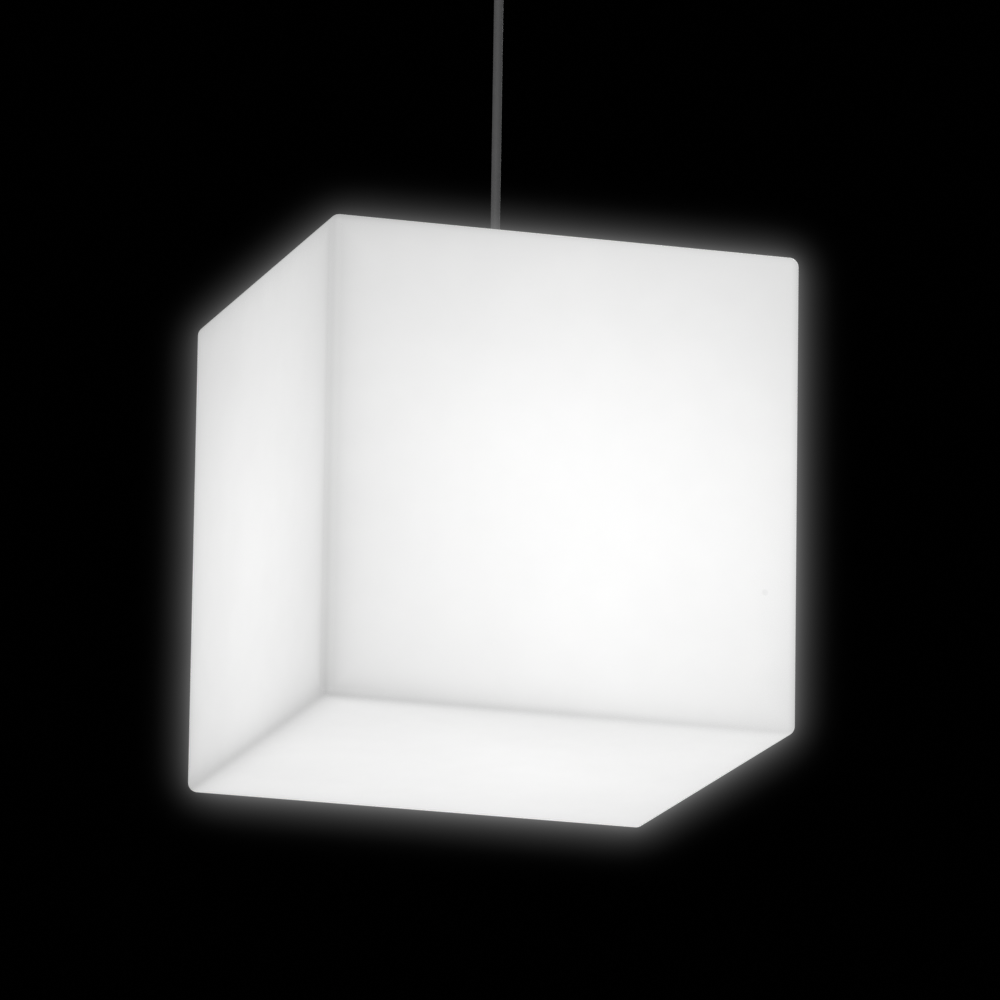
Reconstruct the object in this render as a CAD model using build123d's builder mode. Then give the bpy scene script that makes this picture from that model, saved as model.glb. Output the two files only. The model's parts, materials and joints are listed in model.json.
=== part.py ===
from build123d import *
from math import cos, pi, radians, sin, tan
import os

# Cube pendant light for a garden, porch or covered terrace: a glowing hollow cube on one cord.
# Sizes are in millimetres. The origin is the middle of the ceiling bracket's upper face,
# +Z points up, and the sides of the cube face along X and Y.

os.makedirs("parts", exist_ok=True)

# Clearances
thread_gap = 0.05  # radial, between a thread and its nut or insert
fit_gap = 0.1  # radial, between pieces that fit into each other
hole_gap = 0.25  # radial, round a screw or cord that passes through
joint_gap = 0.3  # between curved faces that move against each other

# Small shapes that many fasteners share
small_chamfer = 0.8
corner_round = 1.1  # radius of a nut's rounded corners, over half its flats
head_round = 0.4  # rounded share of a screw head's height
socket_share = 0.6  # depth of the socket, over the head's height
driver_slot = 0.35  # width of a driver slot, over the screw's radius

# The cube, one moulded shell
cube_side = 400.0
shell_wall = 3.5
edge_radius = 8.0
seat_radius = 96.0  # round recess in the top, in which the cover lies
seat_edge_radius = 3.0
opening_radius = 75.0  # service opening inside the recess
boss_radius = 7.5
boss_height = 13.0
insert_radius = 4.0
insert_length = 10.0

# The cover over the opening
cover_thickness = 6.0
cover_skin = 3.0
cover_gap = 1.0  # radial, between the cover and its recess
cover_edge_radius = 1.5
cover_pad_radius = 20.0
gasket_thickness = 3.0
gasket_margin = 1.5
spigot_gap = 2.0
spigot_wall = 3.0
spigot_depth = 14.0
rib_count = 6
rib_width = 2.5
rib_depth = 11.0  # from the cover's upper face to the underside of the ribs and bosses

# The screws of the cover
cover_screw_count = 6
cover_screw_circle = 85.0
cover_screw_radius = 2.5
cover_screw_length = 13.0
cover_head_radius = 4.75
cover_head_height = 2.8
cover_sink_radius = 5.5
cover_sink_depth = 3.5
cover_socket = 1.5  # half across the flats of the hexagon socket
screw_washer_thickness = 0.6

# The cord
cord_radius = 3.8
cord_length = 270.0  # free stretch, from gland to gland
cord_swing = 28.0  # degrees, half angle of the glands' bell mouths
tail_end = 2.0  # sheath beyond the cord stop
core_radius = 1.25  # one insulated conductor
core_circle = 1.75  # the three conductors lie round the cord's axis

# The cord glands, one size at both ends of the cord
gland_thread = 8.0
gland_flat = 11.0  # half across the flats
gland_washer = 1.5
gland_washer_radius = 10.5
gland_flange = 5.0
gland_barrel = 8.5
gland_barrel_height = 8.5
gland_pocket = 6.2
gland_seal_bevel = 1.0
gland_nut_lift = 1.5  # gap left between the flange and the tightened nut
gland_nut_flats = 8.0
gland_nut_height = 18.0
gland_nut_lip = 7.8
gland_bell = 3.5  # from the cord's pivot to the lip
locknut_height = 5.0
stub_end = 1.5  # thread beyond the lock nut
stop_radius = 9.0
stop_height = 8.0
grub_radius = 1.5
grub_length = 4.6

# The canopy
canopy_radius = 60.0
canopy_height = 48.0
canopy_wall = 2.5
canopy_edge_radius = 10.0
rim_gasket = 3.0
rim_gasket_width = 5.0
pad_length = 30.0
pad_width = 14.0
pad_height = 21.0

# The ceiling bracket and its studs
bracket_length = 104.0
bracket_width = 30.0
bracket_steel = 2.0
bracket_flange = 8.0
bracket_bend = 2.5
slot_spacing = 60.0
slot_radius = 2.6
slot_length = 12.0
supply_hole = 10.0
stud_spacing = 88.0
stud_radius = 2.0
stud_below = 6.0  # stud below the canopy's underside
nut_flat = 3.5
nut_height = 3.2
dome_radius = 4.6
dome_height = 9.0
dome_flange = 1.5
stud_seal = 1.5
stud_seal_radius = 6.0

# The terminal block
block_offset = 27.0  # from the canopy's axis to the middle of the block
block_pitch = 8.0
block_width = 16.0
block_height = 13.0
block_hole = 1.7
block_hole_height = 6.0
block_screw_radius = 1.25
block_screw_head = 2.2
block_well = 4.0
block_tower = 3.3  # radius of the tower round each clamp screw
block_corner = 1.0
block_head_height = 2.0
insert_bar_radius = 2.4
insert_bar_length = 12.0
clamp_screw_radius = 1.2
clamp_screw_length = 4.0
clamp_access = 2.2  # radius of the driver hole above each clamp screw

# The drop bracket that hangs the lampholder in the cube
drop_steel = 2.0
drop_width = 30.0
drop_leg = 30.0  # from the axis to the middle of a leg's steel
drop_foot = 50.0  # from the axis to the end of a foot
drop_depth = 118.0  # from the cover's upper face to the underside of the web
drop_bend = 3.0
drop_screw_x = 40.0
drop_screw_y = 8.0
drop_screw_radius = 2.0
drop_screw_length = 8.0
drop_head_radius = 3.8
drop_head_height = 2.4
drop_boss_radius = 5.0
drop_socket = 1.2  # half across the flats of the hexagon socket

# The lampholder
nipple_radius = 5.0
nipple_bore = 3.5
nipple_lead = 1.6  # from the axis to each conductor in the nipple
nipple_above = 9.0
nipple_below = 8.5
nipple_nut_flat = 7.0
nipple_nut_height = 4.0
nipple_washer = 1.0
tooth_count = 12
tooth_gap = 0.7
holder_radius = 20.0
holder_wall = 2.2
holder_neck_radius = 9.0
holder_neck_height = 9.0
cap_height = 32.0
skirt_height = 32.0
core_disc_radius = 16.0
core_disc_height = 10.0
shoulder_depth = 4.0  # from the top of the skirt to the underside of the ceramic core
shell_radius = 13.5  # inside of the screw shell
shell_steel = 0.5
shell_height = 21.0
contact_steel = 0.5
contact_length = 12.0
contact_width = 5.0
terminal_offset = 8.0
terminal_side = 6.0
terminal_height = 6.0
terminal_screw_radius = 1.5
terminal_screw_length = 3.0
terminal_corner = 0.6
grip_count = 24
grip_radius = 1.1

# The bulb
bulb_radius = 47.5
bulb_wall = 1.5
bulb_length = 135.0
bulb_neck_radius = 26.0
bulb_body_wall = 2.0
bulb_web = 2.0  # end plate of the bulb's body, on which the board sits
bulb_cap_radius = 13.1
bulb_cap_length = 26.0
bulb_cap_wall = 0.6
bulb_tip_radius = 4.8
bulb_tip_height = 1.0
bulb_insulator_height = 3.5
bulb_insulator_shoulder = 10.5
bulb_insulator_sink = 2.0  # part of the insulator that sits inside the cap
board_radius = 21.0
board_thickness = 1.6
emitter_count = 9
emitter_circle = 14.0
emitter_side = 3.5
emitter_height = 0.8

# The earth connection on the drop bracket
earth_depth = 78.0  # from the cover's upper face to the earth screw
earth_head_radius = 3.3
ring_radius = 4.0
ring_thickness = 0.8
barrel_radius = 2.0
barrel_length = 6.0

# Heights, from the ceiling down
canopy_floor = -canopy_height
rim_height = -rim_gasket
pivot_height = gland_washer + gland_flange + gland_nut_lift + gland_nut_height - gland_bell
top_pivot = canopy_floor - pivot_height
bottom_pivot = top_pivot - cord_length
cube_top = bottom_pivot - pivot_height
cube_bottom = cube_top - cube_side
recess_depth = cover_thickness + gasket_thickness
seat_height = cube_top - recess_depth
cover_radius = seat_radius - cover_gap
spigot_radius = opening_radius - spigot_gap
web_bottom = cube_top - drop_depth
cap_bottom = web_bottom - cap_height
core_bottom = cap_bottom - shoulder_depth
bulb_tip = core_bottom - contact_steel - joint_gap
bulb_centre = bulb_tip - bulb_length + bulb_radius


def keep(piece, label):
    """Label a finished piece and write its file."""
    piece.part.label = label
    export_step(piece.part, f"parts/{label}.step")


def facing(z, way, x=0.0, y=0.0):
    """Level plane at a height, whose normal points up (1) or down (-1)."""
    return Plane(origin=(x, y, z), x_dir=(1, 0, 0), z_dir=(0, 0, way))


def upright(z, way):
    """Plane through the vertical axis: x is the radius, y runs up (1) or down (-1) from a height."""
    return Plane(origin=(0, 0, z), x_dir=(1, 0, 0), z_dir=(0, -way, 0))


def ring(label, planes, outer, inner, height):
    """Flat ring, or one on each plane."""
    with BuildPart() as piece:
        with BuildSketch(*planes):
            Circle(outer)
            Circle(inner, mode=Mode.SUBTRACT)
        extrude(amount=height)
    keep(piece, label)


def hexagon_nut(label, planes, flat, bore, height):
    """Hexagon nut with rounded corners, or one on each plane."""
    with BuildPart() as piece:
        with BuildSketch(*planes):
            RegularPolygon(flat, 6, major_radius=False)
        extrude(amount=height)
        with BuildSketch(*planes):
            Circle(flat * corner_round)
        extrude(amount=height, mode=Mode.INTERSECT)
        with BuildSketch(*planes):
            Circle(bore)
        extrude(amount=height, mode=Mode.SUBTRACT)
    keep(piece, label)


def screws(label, planes, shank, length, head, head_height, socket):
    """Round-headed screws. Each plane lies under a head, and its normal points out of the head."""
    tops = [plane.offset(head_height) for plane in planes]
    outward = Axis(planes[0].origin, planes[0].z_dir)
    with BuildPart() as piece:
        with BuildSketch(*planes):
            Circle(head)
        extrude(amount=head_height)
        fillet(piece.edges().group_by(outward)[-1], radius=head_height * head_round)
        with BuildSketch(*planes):
            Circle(shank)
        extrude(amount=-length)
        with BuildSketch(*tops):
            RegularPolygon(socket, 6, major_radius=False)
        extrude(amount=-head_height * socket_share, mode=Mode.SUBTRACT)
    keep(piece, label)


def bends(points):
    """Arc radius at each corner of a route: 0.45 of its shorter run over the tangent of half the turn."""
    runs = [Vector(*b) - Vector(*a) for a, b in zip(points, points[1:])]
    radii = []
    for before, after in zip(runs, runs[1:]):
        half_turn = radians(before.get_angle(after)) / 2
        radii.append(0.45 * min(before.length, after.length) / tan(half_turn))
    return radii


def conductor(label, points, radius):
    """Insulated wire along a route."""
    radii = bends(points)
    with BuildPart() as piece:
        with BuildLine() as route:
            FilletPolyline(*points, radius=radii)
        path = route.wire()
        with BuildSketch(Plane(origin=path @ 0, z_dir=path % 0)):
            Circle(radius)
        sweep(path=path)
    ratio = piece.part.volume / (pi * radius**2 * path.length)
    print(f"{label}: {path.length:.1f} mm, least bend {min(radii):.1f} mm, volume ratio {ratio:.4f}")
    keep(piece, label)


def cord_gland(prefix, panel_face, panel, way, turn):
    """Cord gland through a panel, with cord stop and cord end. Its mouth opens up (1) or down (-1)."""
    flange_top = gland_washer + gland_flange
    barrel_top = flange_top + gland_barrel_height
    stub = panel + locknut_height + stub_end
    nut_bottom = flange_top + gland_nut_lift
    lip = nut_bottom + gland_nut_height
    pivot = lip - gland_bell
    throat = cord_radius + joint_gap
    cone_start = barrel_top + fit_gap
    cone_height = gland_barrel + thread_gap - throat
    bell_angle = radians(cord_swing)
    bell_start = pivot - (throat / cos(bell_angle) - throat) / tan(bell_angle)
    bell_mouth = throat / cos(bell_angle) + gland_bell * tan(bell_angle)

    ring(
        f"{prefix}_gland_washer",
        [facing(panel_face, way)],
        gland_washer_radius,
        gland_thread + fit_gap,
        gland_washer,
    )

    with BuildPart() as body:
        with BuildSketch(facing(panel_face + way * gland_washer, way)):
            RegularPolygon(gland_flat, 6, major_radius=False)
        extrude(amount=gland_flange)
        with BuildSketch(upright(panel_face, way)):
            with BuildLine():
                Polyline(
                    (cord_radius + hole_gap, -stub),
                    (gland_thread, -stub),
                    (gland_thread, gland_washer),
                    (gland_barrel, gland_washer),
                    (gland_barrel, barrel_top),
                    (gland_pocket, barrel_top),
                    (gland_pocket, flange_top + stub_end),
                    (cord_radius + hole_gap, flange_top + stub_end),
                    close=True,
                )
            make_face()
        revolve(axis=Axis.Z)
        with BuildSketch(facing(panel_face, way)):
            Circle(cord_radius + hole_gap)
        extrude(amount=flange_top, mode=Mode.SUBTRACT)
    keep(body, f"{prefix}_gland_body")

    seal_bottom = flange_top + stub_end
    seal_radius = gland_pocket - fit_gap
    seal_shoulder = cone_start + gland_barrel + thread_gap - gland_pocket
    with BuildPart() as seal:
        with BuildSketch(upright(panel_face, way)):
            with BuildLine():
                Polyline(
                    (cord_radius + thread_gap, seal_bottom),
                    (seal_radius, seal_bottom),
                    (seal_radius, seal_shoulder),
                    (seal_radius - gland_seal_bevel, seal_shoulder + gland_seal_bevel),
                    (cord_radius + thread_gap, seal_shoulder + gland_seal_bevel),
                    close=True,
                )
            make_face()
        revolve(axis=Axis.Z)
    keep(seal, f"{prefix}_gland_seal")

    with BuildPart() as nut:
        with BuildSketch(facing(panel_face + way * nut_bottom, way)):
            RegularPolygon(gland_flat, 6, major_radius=False)
        extrude(amount=gland_nut_flats)
        with BuildSketch(upright(panel_face, way)):
            with BuildLine():
                dome_foot = (gland_flat - fit_gap, nut_bottom + gland_nut_flats)
                Polyline((0, lip), (0, nut_bottom), (dome_foot[0], nut_bottom), dome_foot)
                TangentArc(dome_foot, (gland_nut_lip, lip), tangent=(0, 1))
                Line((gland_nut_lip, lip), (0, lip))
            make_face()
        revolve(axis=Axis.Z)
        with BuildSketch(upright(panel_face, way)):
            with BuildLine():
                Polyline(
                    (0, nut_bottom),
                    (gland_barrel + thread_gap, nut_bottom),
                    (gland_barrel + thread_gap, cone_start),
                    (throat, cone_start + cone_height),
                    (throat, bell_start),
                    (bell_mouth, lip),
                    (0, lip),
                    close=True,
                )
            make_face()
        revolve(axis=Axis.Z, mode=Mode.SUBTRACT)
    keep(nut, f"{prefix}_gland_nut")

    hexagon_nut(
        f"{prefix}_gland_locknut",
        [facing(panel_face - way * panel, -way)],
        gland_flat,
        gland_thread + thread_gap,
        locknut_height,
    )

    stop_face = panel_face - way * stub
    grub_height = stop_face - way * stop_height / 2
    across = Vector(cos(radians(turn)), sin(radians(turn)), 0)
    grub_plane = Plane(origin=across * (cord_radius + fit_gap) + Vector(0, 0, grub_height), z_dir=across)
    with BuildPart() as stop:
        with BuildSketch(facing(stop_face, -way)):
            Circle(stop_radius)
            Circle(cord_radius + thread_gap, mode=Mode.SUBTRACT)
        extrude(amount=stop_height)
        chamfer(stop.edges().filter_by(GeomType.CIRCLE).group_by(SortBy.RADIUS)[-1], length=small_chamfer)
        with BuildSketch(grub_plane):
            Circle(grub_radius + thread_gap)
        extrude(amount=stop_radius, mode=Mode.SUBTRACT)
    keep(stop, f"{prefix}_cord_stop")

    with BuildPart() as grub:
        with BuildSketch(grub_plane):
            Circle(grub_radius)
        extrude(amount=grub_length)
        with BuildSketch(grub_plane.offset(grub_length)):
            RegularPolygon(grub_radius / 2, 6, major_radius=False)
        extrude(amount=-grub_length / 2, mode=Mode.SUBTRACT)
    keep(grub, f"{prefix}_cord_stop_screw")

    tail_top = panel_face + way * (pivot - cord_radius - joint_gap)
    tail_bottom = stop_face - way * (stop_height + tail_end)
    with BuildPart() as tail:
        with BuildSketch(facing(tail_top, -way)):
            Circle(cord_radius)
        extrude(amount=abs(tail_top - tail_bottom))
    keep(tail, f"{prefix}_cord_tail")
    return tail_bottom


# Ceiling bracket: a channel with two slots for the ceiling screws and a hole for the supply cable
half_width = bracket_width / 2
with BuildPart() as ceiling_bracket:
    with BuildSketch(Plane.YZ.offset(-bracket_length / 2)):
        with BuildLine():
            FilletPolyline(
                (-half_width, -bracket_flange),
                (-half_width, 0),
                (half_width, 0),
                (half_width, -bracket_flange),
                radius=bracket_bend + bracket_steel,
            )
            Line((half_width, -bracket_flange), (half_width - bracket_steel, -bracket_flange))
            FilletPolyline(
                (half_width - bracket_steel, -bracket_flange),
                (half_width - bracket_steel, -bracket_steel),
                (bracket_steel - half_width, -bracket_steel),
                (bracket_steel - half_width, -bracket_flange),
                radius=bracket_bend,
            )
            Line((bracket_steel - half_width, -bracket_flange), (-half_width, -bracket_flange))
        make_face()
    extrude(amount=bracket_length)
    with BuildSketch(facing(-bracket_flange, 1)):
        RectangleRounded(bracket_length, bracket_width, bracket_bend)
    extrude(amount=bracket_flange, mode=Mode.INTERSECT)
    with BuildSketch(facing(0, -1)):
        Circle(supply_hole)
        with GridLocations(slot_spacing, 0, 2, 1):
            SlotOverall(slot_length, slot_radius * 2)
        with GridLocations(stud_spacing, 0, 2, 1):
            Circle(stud_radius + thread_gap)
    extrude(amount=bracket_steel, mode=Mode.SUBTRACT)
keep(ceiling_bracket, "ceiling_bracket")

stud_places = [-stud_spacing / 2, stud_spacing / 2]
stud_length = canopy_height + stud_below
with BuildPart() as bracket_studs:
    with BuildSketch(*[facing(0, -1, x) for x in stud_places]):
        Circle(stud_radius)
    extrude(amount=stud_length)
    chamfer(bracket_studs.edges().group_by(Axis.Z)[0], length=stud_radius / 4)
keep(bracket_studs, "bracket_studs")

hexagon_nut(
    "stud_locknuts",
    [facing(-bracket_steel, -1, x) for x in stud_places],
    nut_flat,
    stud_radius + thread_gap,
    nut_height,
)

# Canopy cup, with a pad inside for the terminal block
floor_inside = canopy_floor + canopy_wall
pad_top = floor_inside + pad_height
block_screw_x = [-block_pitch / 2, block_pitch / 2]
with BuildPart() as canopy_cup:
    with BuildSketch(facing(canopy_floor, 1)):
        Circle(canopy_radius)
    extrude(amount=rim_height - canopy_floor)
    fillet(canopy_cup.edges().group_by(Axis.Z)[0], radius=canopy_edge_radius)
    top = canopy_cup.faces().sort_by(Axis.Z)[-1]
    offset(amount=-canopy_wall, openings=top)
    with BuildSketch(facing(floor_inside, 1, 0, block_offset)):
        RectangleRounded(pad_length, pad_width, canopy_wall)
    extrude(amount=pad_height)
    with BuildSketch(facing(pad_top, -1, 0, block_offset)):
        with GridLocations(block_pitch, 0, 2, 1):
            Circle(block_screw_radius + thread_gap)
    extrude(amount=pad_height, mode=Mode.SUBTRACT)
    with BuildSketch(facing(canopy_floor, 1)):
        Circle(gland_thread + fit_gap)
        with GridLocations(stud_spacing, 0, 2, 1):
            Circle(stud_radius + hole_gap)
    extrude(amount=canopy_wall, mode=Mode.SUBTRACT)
keep(canopy_cup, "canopy_cup")

ring(
    "canopy_rim_gasket",
    [facing(rim_height, 1)],
    canopy_radius,
    canopy_radius - rim_gasket_width,
    rim_gasket,
)
ring(
    "stud_seals",
    [facing(canopy_floor, -1, x) for x in stud_places],
    stud_seal_radius,
    stud_radius + hole_gap,
    stud_seal,
)

# Dome nuts that hold the canopy up
dome_planes = [facing(canopy_floor - stud_seal, -1, x) for x in stud_places]
with BuildPart() as dome_nuts:
    with BuildSketch(*dome_planes):
        Circle(dome_radius + dome_flange)
    extrude(amount=dome_flange)
    with BuildSketch(*dome_planes):
        RegularPolygon(nut_flat, 6, major_radius=False)
    extrude(amount=dome_height - nut_flat)
    with BuildSketch(*dome_planes):
        Circle(nut_flat)
    extrude(amount=dome_height)
    fillet(dome_nuts.edges().group_by(Axis.Z)[0], radius=nut_flat - fit_gap)
    with BuildSketch(*dome_planes):
        Circle(stud_radius + thread_gap)
    extrude(amount=stud_below - stud_seal + hole_gap, mode=Mode.SUBTRACT)
keep(dome_nuts, "dome_nuts")

canopy_tail_end = cord_gland("canopy", canopy_floor, canopy_wall, -1, 0)

# Terminal block on its pad
block_length = 3 * block_pitch
block_top = pad_top + block_height
block_wire_height = pad_top + block_hole_height
pole_places = [-block_pitch, 0, block_pitch]
screw_y = [block_offset - block_width / 4, block_offset + block_width / 4]
with BuildPart() as terminal_block:
    with BuildSketch(facing(pad_top, 1)):
        with Locations(*[(x, block_offset) for x in pole_places]):
            RectangleRounded(block_pitch + fit_gap, block_width, block_corner)
        with Locations((0, block_offset)):
            Rectangle(block_length - block_pitch, block_width - block_pitch)
    extrude(amount=block_height - block_well)
    with BuildSketch(facing(block_top - block_well, 1)):
        with Locations(*[(x, y) for x in pole_places for y in screw_y]):
            Circle(block_tower)
    extrude(amount=block_well)
    with BuildSketch(Plane.XZ.offset(-block_offset - block_width / 2)):
        with Locations(*[(x, block_wire_height) for x in pole_places]):
            Circle(insert_bar_radius + thread_gap)
    extrude(amount=block_width, mode=Mode.SUBTRACT)
    with BuildSketch(facing(block_top, -1)):
        with Locations(*[(x, -y) for x in pole_places for y in screw_y]):
            Circle(clamp_access)
    extrude(amount=block_top - block_wire_height, mode=Mode.SUBTRACT)
    with BuildSketch(facing(pad_top, 1)):
        with Locations(*[(x, block_offset) for x in block_screw_x]):
            Circle(block_screw_radius + fit_gap)
    extrude(amount=block_height, mode=Mode.SUBTRACT)
keep(terminal_block, "terminal_block")

with BuildPart() as terminal_bars:
    with BuildSketch(Plane.XZ.offset(-block_offset - insert_bar_length / 2)):
        with Locations(*[(x, block_wire_height) for x in pole_places]):
            Circle(insert_bar_radius)
            Circle(block_hole, mode=Mode.SUBTRACT)
    extrude(amount=insert_bar_length)
    with BuildSketch(facing(block_top, -1)):
        with Locations(*[(x, -y) for x in pole_places for y in screw_y]):
            Circle(clamp_screw_radius + thread_gap)
    extrude(amount=block_top - block_wire_height, mode=Mode.SUBTRACT)
keep(terminal_bars, "terminal_bars")

clamp_bottom = block_wire_height + core_radius + fit_gap
with BuildPart() as terminal_clamp_screws:
    with BuildSketch(facing(clamp_bottom, 1)):
        with Locations(*[(x, y) for x in pole_places for y in screw_y]):
            Circle(clamp_screw_radius)
    extrude(amount=clamp_screw_length)
    with BuildSketch(facing(clamp_bottom + clamp_screw_length, 1)):
        with Locations(*[(x, y) for x in pole_places for y in screw_y]):
            Rectangle(clamp_screw_radius * 2, clamp_screw_radius * driver_slot)
    extrude(amount=-clamp_screw_radius, mode=Mode.SUBTRACT)
keep(terminal_clamp_screws, "terminal_clamp_screws")

screws(
    "terminal_block_screws",
    [facing(block_top - block_well, 1, x, block_offset) for x in block_screw_x],
    block_screw_radius,
    block_height - block_well + pad_height / 2,
    block_screw_head,
    block_head_height,
    block_screw_radius / 2,
)

# Conductors of the canopy, from the end of the sheath to the terminal block
lead_names = ["live", "earth", "neutral"]
lead_angles = [210, 90, 330]
lead_feet = [(core_circle * cos(radians(a)), core_circle * sin(radians(a))) for a in lead_angles]
block_mouth = block_offset - insert_bar_length / 2
for name, foot, pole in zip(lead_names, lead_feet, pole_places):
    route = [(foot[0], foot[1], canopy_tail_end), (foot[0], foot[1], block_wire_height)]
    if pole:
        route.append((pole, block_mouth - block_pitch, block_wire_height))
    route.append((pole, block_mouth + insert_bar_length / 4, block_wire_height))
    conductor(f"canopy_lead_{name}", route, core_radius)

# The free stretch of the cord, with a rounded end in each gland
with BuildPart() as cord:
    with BuildSketch(facing(bottom_pivot, 1)):
        Circle(cord_radius)
    extrude(amount=cord_length)
    for pivot in (top_pivot, bottom_pivot):
        with Locations((0, 0, pivot)):
            Sphere(cord_radius)
keep(cord, "cord")

# Cover plate: a thick rim and middle pad joined by a thin skin, with a spigot and ribs below
pad_inner = cover_pad_radius
spigot_inner = spigot_radius - spigot_wall
cover_bottom = cube_top - cover_thickness
skin_bottom = cube_top - cover_skin
rib_length = spigot_inner - pad_inner
with BuildPart() as cover_plate:
    with BuildSketch(facing(cover_bottom, 1)):
        Circle(cover_radius)
        Circle(spigot_inner, mode=Mode.SUBTRACT)
        Circle(pad_inner)
    extrude(amount=cover_thickness)
    with BuildSketch(facing(cube_top, -1)):
        Circle(cover_radius)
    extrude(amount=cover_skin)
    fillet(cover_plate.edges().group_by(Axis.Z)[-1], radius=cover_edge_radius)
    with BuildSketch(facing(skin_bottom, -1)):
        Circle(spigot_radius)
        Circle(spigot_inner, mode=Mode.SUBTRACT)
    extrude(amount=spigot_depth - cover_skin)
    with BuildSketch(facing(skin_bottom, -1)):
        with PolarLocations(pad_inner + rib_length / 2, rib_count):
            Rectangle(rib_length + rib_width, rib_width)
        with GridLocations(drop_screw_x * 2, drop_screw_y * 2, 2, 2):
            Circle(drop_boss_radius)
    extrude(amount=rib_depth - cover_skin)
    with BuildSketch(facing(cube_top - rib_depth, 1)):
        with GridLocations(drop_screw_x * 2, drop_screw_y * 2, 2, 2):
            Circle(drop_screw_radius + thread_gap)
    extrude(amount=drop_screw_length - drop_steel + hole_gap, mode=Mode.SUBTRACT)
    with BuildSketch(facing(cube_top, -1)):
        Circle(gland_thread + fit_gap)
    extrude(amount=cover_thickness, mode=Mode.SUBTRACT)
    screw_hole = cover_screw_radius + hole_gap
    with Locations(facing(cube_top, 1)):
        with PolarLocations(cover_screw_circle, cover_screw_count):
            CounterBoreHole(screw_hole, cover_sink_radius, cover_sink_depth, cover_thickness)
keep(cover_plate, "cover_plate")

cover_screw_turns = [2 * pi * n / cover_screw_count for n in range(cover_screw_count)]
cover_screw_places = [(cover_screw_circle * cos(a), cover_screw_circle * sin(a)) for a in cover_screw_turns]
with BuildPart() as cover_gasket:
    with BuildSketch(facing(seat_height, 1)):
        Circle(seat_radius - gasket_margin)
        Circle(opening_radius + gasket_margin, mode=Mode.SUBTRACT)
        with PolarLocations(cover_screw_circle, cover_screw_count):
            Circle(screw_hole, mode=Mode.SUBTRACT)
    extrude(amount=gasket_thickness)
keep(cover_gasket, "cover_gasket")

sink_floor = cube_top - cover_sink_depth
ring(
    "cover_screw_seals",
    [facing(sink_floor, 1, x, y) for x, y in cover_screw_places],
    cover_head_radius,
    cover_screw_radius + fit_gap,
    screw_washer_thickness,
)
screws(
    "cover_screws",
    [facing(sink_floor + screw_washer_thickness, 1, x, y) for x, y in cover_screw_places],
    cover_screw_radius,
    cover_screw_length,
    cover_head_radius,
    cover_head_height,
    cover_socket,
)

lamp_tail_end = cord_gland("lamp", cube_top, cover_thickness, 1, 90)

# Drop bracket: one strip of steel with two feet, two legs and a web for the lampholder
foot_top = cube_top - rib_depth
leg_outer = drop_leg + drop_steel / 2
leg_inner = drop_leg - drop_steel / 2
web_top = web_bottom + drop_steel
with BuildPart() as drop_bracket:
    with BuildSketch(Plane.XZ.offset(-drop_width / 2)):
        with BuildLine():
            FilletPolyline(
                (-drop_foot, foot_top),
                (-leg_inner, foot_top),
                (-leg_inner, web_top),
                (leg_inner, web_top),
                (leg_inner, foot_top),
                (drop_foot, foot_top),
                radius=[drop_bend + drop_steel, drop_bend, drop_bend, drop_bend + drop_steel],
            )
            Line((drop_foot, foot_top), (drop_foot, foot_top - drop_steel))
            FilletPolyline(
                (drop_foot, foot_top - drop_steel),
                (leg_outer, foot_top - drop_steel),
                (leg_outer, web_bottom),
                (-leg_outer, web_bottom),
                (-leg_outer, foot_top - drop_steel),
                (-drop_foot, foot_top - drop_steel),
                radius=[drop_bend, drop_bend + drop_steel, drop_bend + drop_steel, drop_bend],
            )
            Line((-drop_foot, foot_top - drop_steel), (-drop_foot, foot_top))
        make_face()
    extrude(amount=drop_width)
    with BuildSketch(facing(foot_top, -1)):
        with GridLocations(drop_screw_x * 2, drop_screw_y * 2, 2, 2):
            Circle(drop_screw_radius + hole_gap)
    extrude(amount=drop_steel, mode=Mode.SUBTRACT)
    with BuildSketch(facing(web_top, -1)):
        Circle(nipple_radius + hole_gap)
    extrude(amount=drop_steel, mode=Mode.SUBTRACT)
    with BuildSketch(Plane.YZ.offset(leg_inner)):
        with Locations((0, cube_top - earth_depth)):
            Circle(drop_screw_radius + thread_gap)
    extrude(amount=drop_steel, mode=Mode.SUBTRACT)
    fillet(drop_bracket.edges().filter_by(Axis.Z).group_by(SortBy.LENGTH)[0], radius=drop_bend)
keep(drop_bracket, "drop_bracket")

screws(
    "drop_bracket_screws",
    [
        facing(foot_top - drop_steel, -1, x, y)
        for x in (-drop_screw_x, drop_screw_x)
        for y in (-drop_screw_y, drop_screw_y)
    ],
    drop_screw_radius,
    drop_screw_length,
    drop_head_radius,
    drop_head_height,
    drop_socket,
)

# Earth connection on the inside of one leg
ring_plane = Plane(origin=(leg_inner, 0, cube_top - earth_depth), x_dir=(0, 1, 0), z_dir=(-1, 0, 0))
barrel_bottom = cube_top - earth_depth + ring_radius
barrel_axis = leg_inner - barrel_radius - fit_gap
with BuildPart() as earth_terminal:
    with BuildSketch(ring_plane):
        Circle(ring_radius)
        with Locations((0, (ring_radius + barrel_radius) / 2)):
            Rectangle(barrel_radius * 2, ring_radius + barrel_radius)
        Circle(drop_screw_radius + fit_gap, mode=Mode.SUBTRACT)
    extrude(amount=ring_thickness)
    with BuildSketch(facing(barrel_bottom, 1, barrel_axis)):
        Circle(barrel_radius)
        Circle(core_radius + fit_gap, mode=Mode.SUBTRACT)
    extrude(amount=barrel_length)
keep(earth_terminal, "earth_terminal")

screws(
    "earth_screw",
    [ring_plane.offset(ring_thickness)],
    drop_screw_radius,
    ring_thickness + drop_steel + drop_steel,
    earth_head_radius,
    drop_head_height,
    drop_socket,
)

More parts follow.
